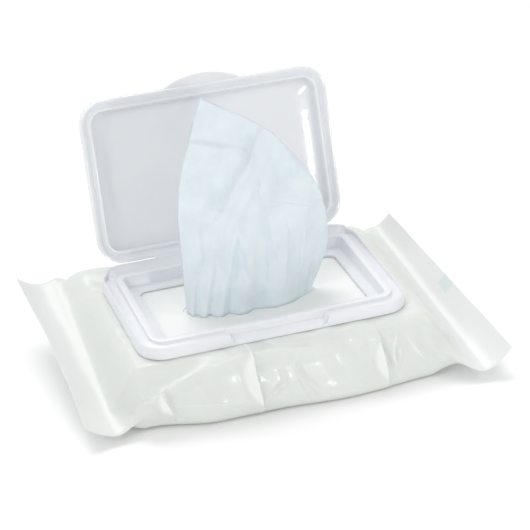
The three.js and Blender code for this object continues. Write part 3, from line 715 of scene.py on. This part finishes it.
# %% [markdown]
# The film is one tube, pressed flat and sealed at both ends. Its shape follows a rule: the section of
# the packet, a rounded box, turns over the ramp into the flat line of the seal. On top of that come
# what soft film does: the foot bulges where the wipes push it, the back corners puff up with trapped
# air, the front is tucked into a few sharp creases, and pleats run from the seal into the body.

# %% Film: the section of the packet and the corners of its ends
PACK_HEIGHT = 37 * MM
TOP_HALF = 57 * MM
FOOT_HALF = 62 * MM
TOP_RADIUS = 9 * MM
FOOT_RADIUS = 6 * MM
BODY_HALF = 78 * MM
SEAL_THICKNESS = 1.0 * MM
SEAL_CURVE = 1.6
LEFT_END = dict(root=((17, 5), (17, 33)), tip=((33.5, 13), (38, 37)), drawn=(16, 4), bow=2, sag=3,
                wave=0.7, pleats=0.3)
RIGHT_END = dict(root=((28.5, 6), (20.5, 27)), tip=((43.5, 17), (30.5, 34)), drawn=(1, 5), bow=0, sag=0,
                 wave=0.15, pleats=1.6)
FILM_COLUMNS = 240
BODY_ROWS = 105
RAMP_ROWS = 31
SEAL_ROWS = 13
SEAL_WAVES = 9
PLEATS = ((3.5, 0.25, 1.5), (9.3, 0, 0.6))
RIPPLE_UP = 0.35 * MM
RIPPLE_OUT = 0.3 * MM
CORNER_PUSH = 0.42
SLOT = (-3 * MM, -3 * MM, 75 * MM, 29 * MM)


def section_outline():
    """Fine outline of the packet's section from the middle of its back, anticlockwise seen from +X."""
    side_half = (TOP_HALF + FOOT_HALF) / 2
    half = PACK_HEIGHT / 2

    def quarter(top_half, radius, sign):
        points = [(side_half, 0.0)]
        points += [(top_half - radius + radius * math.cos(a), sign * (half - radius + radius * math.sin(a)))
                   for a in np.linspace(0, math.pi / 2, 14)]
        points.append((0.0, sign * half))
        return np.array(points)

    def evenly(points, count):
        steps = np.concatenate([[0], np.cumsum(np.linalg.norm(np.diff(points, axis=0), axis=1))])
        wanted = np.linspace(0, steps[-1], count)
        return np.stack([np.interp(wanted, steps, points[:, i]) for i in (0, 1)], 1), wanted / steps[-1]

    count = FILM_COLUMNS // 4 + 1
    upper, upper_share = evenly(quarter(TOP_HALF, TOP_RADIUS, 1), count)
    lower, lower_share = evenly(quarter(FOOT_HALF, FOOT_RADIUS, -1), count)
    rows = []
    for i in range(count):
        rows.append((upper[i][0], upper[i][1], 1 - upper_share[i], 1 if i else 0))
    for i in range(count - 2, -1, -1):
        rows.append((-upper[i][0], upper[i][1], upper_share[i] - 1, 1 if i else 0))
    for i in range(1, count):
        rows.append((-lower[i][0], lower[i][1], lower_share[i] - 1, -1))
    for i in range(count - 2, 0, -1):
        rows.append((lower[i][0], lower[i][1], 1 - lower_share[i], -1))
    table = np.array(rows)
    table[:, 1] += half
    return table


section = section_outline()
closed_loop = np.vstack([section, section[:1]])[:, :2]
girth = float(np.linalg.norm(np.diff(closed_loop, axis=0), axis=1).sum())
print("film girth:", round(girth / MM, 1), "mm")

# %% [markdown]
# The creases are small functions of the place along the packet: each is a bell or a ridge with a
# middle, a reach and a size. Sharp ones catch the light as the bright lines of the photograph.

# %% Film: swells, creases and wrinkles
PUFFS = ((-76, 62, 12, 5.5), (70, 60, 8, 2.5))
FOOT_SWELLS = ((-78, 40, -10), (35, 46, 4))
FRONT_FOLDS = (
    # top and bottom as x and height, reach to the left and to the right, and how far it stands out, mm
    ((-20, 40), (-16.5, 6), 8, 1.0, 4.2), ((-70, 28), (-64, 9), 7, 2.5, 3.6),
    ((-74, 21), (-69, 11), 3, 1.5, 1.6), ((-12, 13), (-3, 18), 2.2, 1.2, 1.8),
    ((2.5, 27), (9, 9), 1.4, 3, 2.0), ((-5, 25), (-2, 9), 1.2, 2.5, 1.0),
    ((10, 15), (14, 9), 1.5, 2.5, 1.4), ((51.5, 32), (54, 5), 7, 1.2, 4.4), ((57, 27), (60, 12), 3, 2, 2.2),
    ((62, 33), (58, 19), 2.5, 4, 2.0), ((66, 30), (76, 12), 4, 9, 2.2), ((24, 28), (34, 11), 8, 10, 1.4),
    ((-52, 31), (-43, 12), 9, 12, -1.2), ((39, 34), (47, 20), 4, 7, 1.4), ((79, 26), (87, 9), 3, 6, 1.6),
    ((64, 24), (61, 14), 1.4, 2, 1.2), ((67, 22), (70, 16), 1.4, 2, 1.0),
)
EDGE_CREASE = ((-82, 19), (-76, 21.5), (-70, 24.8), (-59, 28.8), (-45, 33.4), (-31, 36.6), (-14, 36.6),
               (-1, 35), (13, 33), (34, 37), (90, 37))
EDGE_SHARPNESS = ((-82, 1), (8, 1), (34, 0), (90, 0))
LOWER_CREASE = ((-80, 14.5), (-50, 13.8), (-16, 10.5), (30, 10), (90, 9))
LEDGE_REACH = 14 * MM
EDGE_NARROWNESS = 1.6
LOWER_STAND = ((-90, 0), (-74, 2.6), (-10, 2.8), (30, 1.0), (45, 0), (90, 0))


def bell(x, middle, reach):
    away = np.abs(x - middle) / reach
    return np.where(away < 1, (1 + np.cos(np.minimum(away, 1) * np.pi)) / 2, 0)


def along_packet(table, x):
    """Value of a table of places and values in mm at the places x, which are in metres."""
    places, values = zip(*table)
    return np.interp(x / MM, places, values)


def folds_on(x, z, folds, soft):
    """How far folds stand out at the places x, z. Each is a line with a steep and a gentle side: the
    profile is two straight facets where film creases, and two bells where soft cloth does."""
    total = 0
    for (x0, z0), (x1, z1), left, right_reach, size in folds:
        way_x, way_z = (x1 - x0) * MM, (z1 - z0) * MM
        off_x, off_z = x - x0 * MM, z - z0 * MM
        length = math.hypot(way_x, way_z)
        along = np.clip((off_x * way_x + off_z * way_z) / length ** 2, 0, 1)
        side = way_x * off_z - way_z * off_x
        away = np.hypot(off_x - along * way_x, off_z - along * way_z) / MM
        reach = np.where(side > 0, right_reach, left)
        facet = np.exp(-(away / reach) ** 2 * 2) if soft else np.maximum(0, 1 - away / reach)
        total = total + size * MM * facet * np.sin(np.pi * (0.12 + 0.76 * along))
    return total


def ripple(x, y, seed):
    """Soft unrepeating waves of about one unit: a few sines whose directions come from a fixed seed."""
    random = np.random.default_rng(seed)
    total = 0
    for _ in range(7):
        angle, length, phase = random.uniform(0, np.pi), random.uniform(9, 30) * MM, random.uniform(0, 6.3)
        total = total + np.sin((x * np.cos(angle) + y * np.sin(angle)) / length * 2 * np.pi + phase)
    return total / 3.5


def film_row(side, along, ramp, seal):
    """One ring of the film at a side, a distance along the body and shares of the ramp and seal."""
    end = LEFT_END if side < 0 else RIGHT_END
    y, z, across, face = section.T
    flat = float(smoothstep(ramp, 0, 1))
    stay = 1 - flat
    to_back = (across + 1) / 2

    def corner(edge, axis):
        return (end[edge][0][axis] + (end[edge][1][axis] - end[edge][0][axis]) * to_back) * MM

    beyond = ramp * (corner("root", 0) * (1 - seal) + corner("tip", 0) * seal)
    bow = end["bow"] * MM * (1 - across ** 2) * seal
    wave = end["wave"] * MM * seal * np.sin(across * SEAL_WAVES + side)
    x = side * (along + beyond - bow)
    drawn = np.where(across < 0, *end["drawn"]) * MM
    seal_y = across * (girth / 4 - drawn)
    sag = end["sag"] * MM * to_back * 4 * seal * (1 - seal)
    lift = seal ** SEAL_CURVE
    seal_z = corner("root", 1) * (1 - lift) + corner("tip", 1) * lift - sag + wave
    thick = face * SEAL_THICKNESS / 2

    pleats = end["pleats"] * flat * stay
    fan = sum(deep * (np.abs(((across * many + start) % 1) - 0.5) * 2 - 0.5) for many, start, deep in PLEATS)
    pleat = face * pleats * fan * MM

    height = z / PACK_HEIGHT
    front = smoothstep(-y, TOP_HALF - TOP_RADIUS, TOP_HALF - 1 * MM)
    sharp = along_packet(EDGE_SHARPNESS, x) * (1 - flat)
    turned = np.arctan2(z - (PACK_HEIGHT - TOP_RADIUS), -y - (TOP_HALF - TOP_RADIUS))
    on_corner = (z > PACK_HEIGHT - TOP_RADIUS) & (-y > TOP_HALF - TOP_RADIUS)
    peak = np.where(on_corner, np.maximum(0, 1 - np.abs(turned - np.pi / 4) / (np.pi / 4)), 0)
    push = sharp * peak ** EDGE_NARROWNESS * TOP_RADIUS * CORNER_PUSH
    y = y - push
    z = z + push * (1 - flat)
    slope = smoothstep(-y, FRAME_DEPTH / 2 + 0.5 * MM, TOP_HALF)
    z = z * (1 - slope * (1 - along_packet(EDGE_CREASE, x) / (PACK_HEIGHT / MM)))
    wall = front * np.clip(z / (4 * MM), 0, 1) * np.clip((PACK_HEIGHT - z) / (1.5 * MM), 0, 1)
    line = along_packet(LOWER_CREASE, x) * MM
    below = np.where(z > line, (z - line) / LEDGE_REACH, (line - z) / line)
    ledge = along_packet(LOWER_STAND, x) * MM * np.maximum(0, 1 - below) * front
    creased = folds_on(x, z, FRONT_FOLDS, False) * wall + ledge
    foot = sum(size * MM * bell(x, middle * MM, reach * MM) for middle, reach, size in FOOT_SWELLS)
    foot = foot * smoothstep(-y, TOP_HALF - TOP_RADIUS, TOP_HALF - TOP_RADIUS + 4 * MM) * (1 - height)
    back = smoothstep(y, TOP_HALF - TOP_RADIUS, TOP_HALF) * height * (1 - flat ** 4)
    puff_out = sum(out * MM * bell(x, m * MM, reach * MM) for m, reach, out, _ in PUFFS) * back
    puff_up = sum(rise * MM * bell(x, m * MM, reach * MM) for m, reach, _, rise in PUFFS) * back

    new_y = y * stay + seal_y * flat - (creased + foot) * stay + puff_out
    new_z = z * stay + (seal_z + thick) * flat + pleat + puff_up
    free = np.clip(1 - (FRAME_DEPTH / 2 - np.abs(new_y)) / (9 * MM), 0, 1)
    free = np.where(np.abs(x) > FRAME_LENGTH / 2, 1, free) * (new_z > 3 * MM) * (1 - flat)
    new_z = new_z + RIPPLE_UP * ripple(x, new_y, 5) * free * (height > 0.9)
    new_y = new_y + RIPPLE_OUT * ripple(x, new_z, 8) * front * stay * (height > 0.1)
    return np.stack([x, new_y, np.maximum(new_z, 0.02 * MM)], 1)


def half_rows(side):
    body = [film_row(side, BODY_HALF * s, 0, 0) for s in np.linspace(0, 1, BODY_ROWS)[1:]]
    ramp = [film_row(side, BODY_HALF, s, 0) for s in np.linspace(0, 1, RAMP_ROWS)[1:]]
    seal = [film_row(side, BODY_HALF, 1, s) for s in np.linspace(0, 1, SEAL_ROWS)[1:]]
    return body + ramp + seal


film_rows = half_rows(-1)[::-1] + [film_row(1, 0, 0, 0)] + half_rows(1)
film = loft("film_tube", film_rows, smooth_angle=70)
print("film:", len(film.data.polygons), "faces")

# %% [markdown]
# The oval slot is a shallow cut in the film's top. The film has no wall of its own here: it is one
# closed surface, so the slot is a dip with a floor of its own, which the gathered wipe covers.

# %% Film: slot
SLOT_DEPTH = 0.6 * MM
SLOT_POINTS = 96
slot_x, slot_y, slot_length, slot_width = SLOT
slot_rows = [[(slot_x + slot_length / 2 * math.cos(a), slot_y + slot_width / 2 * math.sin(a), z)
              for a in np.linspace(0, 2 * math.pi, SLOT_POINTS + 1)[:-1]]
             for z in (PACK_HEIGHT - SLOT_DEPTH, PACK_HEIGHT + 3 * MM)]
slot_cutter = loft("slot", slot_rows)
film = joined(film, slot_cutter, "DIFFERENCE")
give_material(film, film_laminate)
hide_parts("film_pouch")
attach(film, "pack")
print("film with its slot:", len(film.data.polygons), "faces")

# %% [markdown]
# The wipe is one sheet, folded over at its right edge, so two layers stand side by side. It is
# gathered by the slot and spreads above it. Its outline is four curves; between them the sheet is a
# smooth patch with pleats that fade upwards, a long diagonal crease and a few softer folds.

# %% Wipe: outline
WIPE_FOOT = 36.4 * MM
GATHER_INSET = 2.6 * MM
GATHER_X = SLOT[2] / 2 - GATHER_INSET
GATHER_Y = SLOT[3] / 2 - GATHER_INSET
LEFT_EDGE = ((-39.5, -4, 37), (-39.5, -4, 68), (-33, -4, 97), (-24.5, -5, 124))
TOP_EDGE = ((-24.5, -5, 124), (8, -6, 103.5), (17, -5, 94), (31, -4, 75), (39.5, -3, 59), (42.4, -3, 48))
RIGHT_EDGE = ((37.5, -3, 12), (42.9, -2, 26), (42.4, -3, 48))


def curve(points, share):
    """Point of a smooth curve through a few points, at shares of its way: a Catmull-Rom spline."""
    points = np.array(points, float)
    count = len(points) - 1
    scaled = np.clip(np.asarray(share, float) * count, 0, count - 1e-9)
    i = scaled.astype(int)
    t = (scaled - i)[..., None]
    before = np.where((i == 0)[..., None], 2 * points[0] - points[1], points[i - 1])
    after = np.where((i == count - 1)[..., None], 2 * points[-1] - points[-2],
                     points[np.minimum(i + 2, count)])
    a, b = points[i], points[i + 1]
    return 0.5 * (2 * a + (b - before) * t + (2 * before - 5 * a + 4 * b - after) * t ** 2
                  + (3 * a - before - 3 * b + after) * t ** 3)


def above_film(points):
    return [(x * MM, y * MM, PACK_HEIGHT + z * MM) for x, y, z in points]


def wipe_patch(across, rise):
    """Point of the smooth patch between the four edges of the wipe."""
    def gathered(s):
        angle = np.pi * (1 + s)
        return np.stack([SLOT[0] + GATHER_X * np.cos(angle), SLOT[1] + GATHER_Y * np.sin(angle),
                         np.full_like(s, WIPE_FOOT)], -1)

    foot_left = (SLOT[0] - GATHER_X, SLOT[1], WIPE_FOOT)
    foot_right = (SLOT[0] + GATHER_X, SLOT[1], WIPE_FOOT)
    left = curve([foot_left, *above_film(LEFT_EDGE)], rise)
    right_side = curve([foot_right, *above_film(RIGHT_EDGE)], rise)
    top = curve(above_film(TOP_EDGE), across)
    foot = gathered(across)
    zero, one = np.zeros_like(across), np.ones_like(across)
    s, t = across[..., None], rise[..., None]
    corners = ((1 - s) * (1 - t) * gathered(zero) + s * (1 - t) * gathered(one)
               + (1 - s) * t * curve(above_film(TOP_EDGE), zero) + s * t * curve(above_film(TOP_EDGE), one))
    return foot * (1 - t) + top * t + left * (1 - s) + right_side * s - corners


# %% [markdown]
# A fold in cloth is a ridge with a rounded top, so each one here is a line on the wipe's front with a
# height that falls off to both sides. The pleats at the foot come from the gathering: the sheet is
# longer than the slot, so it waves in and out.

# %% Wipe: folds
CREASES = (
    # top and bottom as x and height above the film, reach to the left and right, how far it stands out
    ((9, 106), (-17, 62), 1.3, 18, 6.5), ((10, 103), (37, 62), 8, 3, 2.6),
    ((-17, 62), (-20, 26), 3, 12, 3.4), ((5, 68), (10, 32), 1.2, 9, 4.2),
    ((34, 68), (27, 28), 10, 1.4, 3.6), ((-34, 101), (-4, 92), 9, 1.5, 2.6),
    ((-31, 54), (-30, 12), 5, 2, 3.0), ((10, 60), (35, 54), 1.6, 8, 2.8), ((-9, 50), (-3, 6), 1.8, 7, 3.2),
    ((18, 42), (13, 4), 7, 1.6, 3.2), ((-22, 90), (-29, 62), 8, 7, 2.6), ((28, 42), (22, 6), 1.8, 6, 2.8),
    ((-19, 36), (-14, 4), 1.6, 6, 3.0), ((5, 32), (3, 4), 5, 1.4, 2.4), ((22, 84), (26, 66), 2, 7, 1.8),
)
FOLD_SHARE = 0.8
LAYER_GAP = 2.4 * MM
CLOTH = 0.5 * MM
TURN_FULLNESS = 1.0 * MM
BACK_LOWER = 1.5 * MM
PLEAT_DEPTH = 2.1 * MM
PLEAT_COUNT = 7.5
PLEAT_DRIFT = 1.5
SOFT_WAVES = 0.7 * MM


def fold_height(x, z, seed):
    return SOFT_WAVES * ripple(x, z, seed) + FOLD_SHARE * folds_on(x, z, CREASES, True)


def wipe_layer(across, rise, back):
    point = wipe_patch(across, rise)
    edge_share = np.sin(np.pi * np.clip(across, 0, 1)) ** 0.5
    phase = 1.3 if back else 0.0
    pleats = PLEAT_COUNT + PLEAT_DRIFT * np.sin(across * 5 + phase)
    gather = PLEAT_DEPTH * (1 - rise) ** 1.3 * np.sin(2 * np.pi * pleats * across + phase) * edge_share
    folds = fold_height(point[..., 0], point[..., 2] - PACK_HEIGHT, 21 if back else 11)
    point[..., 1] += gather - folds * smoothstep(rise, 0.05, 0.3)
    if back:
        point[..., 1] += LAYER_GAP * np.sin(np.pi * np.clip(0.12 + across * 0.88, 0, 1)) ** 0.6 + 0.2 * MM
        point[..., 2] -= BACK_LOWER * rise * np.sin(np.pi * across)
    return point


WIPE_COLUMNS = 140
BACK_COLUMNS = 60
WIPE_ROWS = 140
rise, across = np.meshgrid(np.linspace(0, 1, WIPE_ROWS), np.linspace(0, 1, WIPE_COLUMNS), indexing="ij")
front_layer = wipe_layer(across, rise, False)
rise, across = np.meshgrid(np.linspace(0, 1, WIPE_ROWS), np.linspace(1, 0, BACK_COLUMNS), indexing="ij")
back_layer = wipe_layer(across, rise, True)
fullness = TURN_FULLNESS * (1 - smoothstep(np.linspace(0, 1, WIPE_ROWS), 0.75, 1))
turn = np.stack([front_layer[:, -1] * (1 - s) + back_layer[:, 0] * s
                 + np.outer(fullness * math.sin(math.pi * s), (1, 0, 0)) for s in (0.2, 0.4, 0.6, 0.8)], 1)
sheet = np.concatenate([front_layer, turn, back_layer], 1)
wipe = loft("wipe_sheet", sheet, round_row=False, smooth_angle=180)
thickness = wipe.modifiers.new("cloth", "SOLIDIFY")
thickness.thickness = CLOTH
thickness.offset = 0
baked(wipe)
wipe.data.shade_smooth()
give_material(wipe, moist_fleece)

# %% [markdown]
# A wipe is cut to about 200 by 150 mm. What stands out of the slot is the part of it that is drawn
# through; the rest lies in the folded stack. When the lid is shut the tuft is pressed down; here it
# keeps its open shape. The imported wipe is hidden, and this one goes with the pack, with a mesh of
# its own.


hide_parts("pulled_wipe")
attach(wipe, "pack")
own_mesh(wipe)

# %% [markdown]
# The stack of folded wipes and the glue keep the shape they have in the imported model. They are nearly
# hidden, and only need what they are made of.

# %% Stack and glue
for name, material in (("wipe_stack", folded_fleece), ("frame_glue", glue_wax)):
    give_material(frame["nodes"][name], material)
    print("finished", name)

# %% [markdown]
# A white studio: an even sky, a broad soft lamp high behind the packet, which drops a soft shadow
# towards the viewer, and a weaker one from the front left. Two small soft boxes draw the gloss of the
# film, and a tiny one the glint in the lid. The floor is white at this level, so it has no visible edge.

# %% Studio
SKY_LEVEL = 0.655
SUN_LEVEL = 1.12
KEY_LEVEL = 0.24
KEY_ANGLE = math.radians(22)
SUN_ANGLE = math.radians(38)
FLOOR_HALF = 4.0

world = bpy.data.worlds.new("studio sky")
world.use_nodes = True
sky = world.node_tree
background = sky.nodes["Background"]
path = add(sky, "ShaderNodeLightPath")
direct = add(sky, "ShaderNodeMath", {"operation": "MAXIMUM"}, _0=path.outputs["Is Camera Ray"],
             _1=path.outputs["Is Transmission Ray"])
seen = add(sky, "ShaderNodeMath", {"operation": "MAXIMUM"}, _0=direct.outputs[0],
           _1=path.outputs["Is Glossy Ray"])
level = add(sky, "ShaderNodeMapRange", Value=seen.outputs[0], To_Min=SKY_LEVEL, To_Max=1.0)
sky.links.new(level.outputs[0], background.inputs["Strength"])
background.inputs["Color"].default_value = (1, 1, 1, 1)
bpy.context.scene.world = world

floor_mesh = bpy.data.meshes.new("floor")
floor_mesh.from_pydata([(-FLOOR_HALF, -FLOOR_HALF, 0), (FLOOR_HALF, -FLOOR_HALF, 0),
                        (FLOOR_HALF, FLOOR_HALF, 0), (-FLOOR_HALF, FLOOR_HALF, 0)], [], [(0, 1, 2, 3)])
floor = bpy.data.objects.new("floor", floor_mesh)
bpy.context.scene.collection.objects.link(floor)
floor.location.z = cad_box[0][2]
paper, _, _ = new_material("white paper sweep", Base_Color=linear("#FFFFFF"), Roughness=0.9)
paper.node_tree.nodes["Principled BSDF"].inputs["Specular IOR Level"].default_value = 0.0
floor.data.materials.append(paper)


def lamp(name, kind, energy, place, target, size=None):
    data = bpy.data.lights.new(name, kind)
    data.energy = energy
    if size:
        data.size = size
    made = bpy.data.objects.new(name, data)
    made.location = place
    made.rotation_euler = (Vector(target) - Vector(place)).to_track_quat("-Z", "Y").to_euler()
    bpy.context.scene.collection.objects.link(made)
    return made


sun = lamp("high soft lamp", "SUN", SUN_LEVEL, (-0.05, 0.52, 0.92), (0, 0, 0))
sun.data.angle = SUN_ANGLE
key = lamp("key from the left", "SUN", KEY_LEVEL, (-0.72, -0.5, 0.48), (0, 0, 0))
key.data.angle = KEY_ANGLE
lamp("soft box left", "AREA", 0.35, (-0.6, -0.35, 0.5), (0, 0, 0.05), 0.12)
lamp("soft box right", "AREA", 0.35, (0.6, -0.35, 0.5), (0.03, 0, 0.05), 0.08)
lamp("glint", "AREA", 0.25, (0.098, -0.505, 0.177), (-0.062, 0.072, 0.125), 0.02)

bpy.context.scene.view_settings.view_transform = "Standard"

# %% [markdown]
# Last, the box around the imported model is printed.

# %% Size and finish
print("CAD box:", [[round(v / MM, 1) for v in corner] for corner in cad_box])
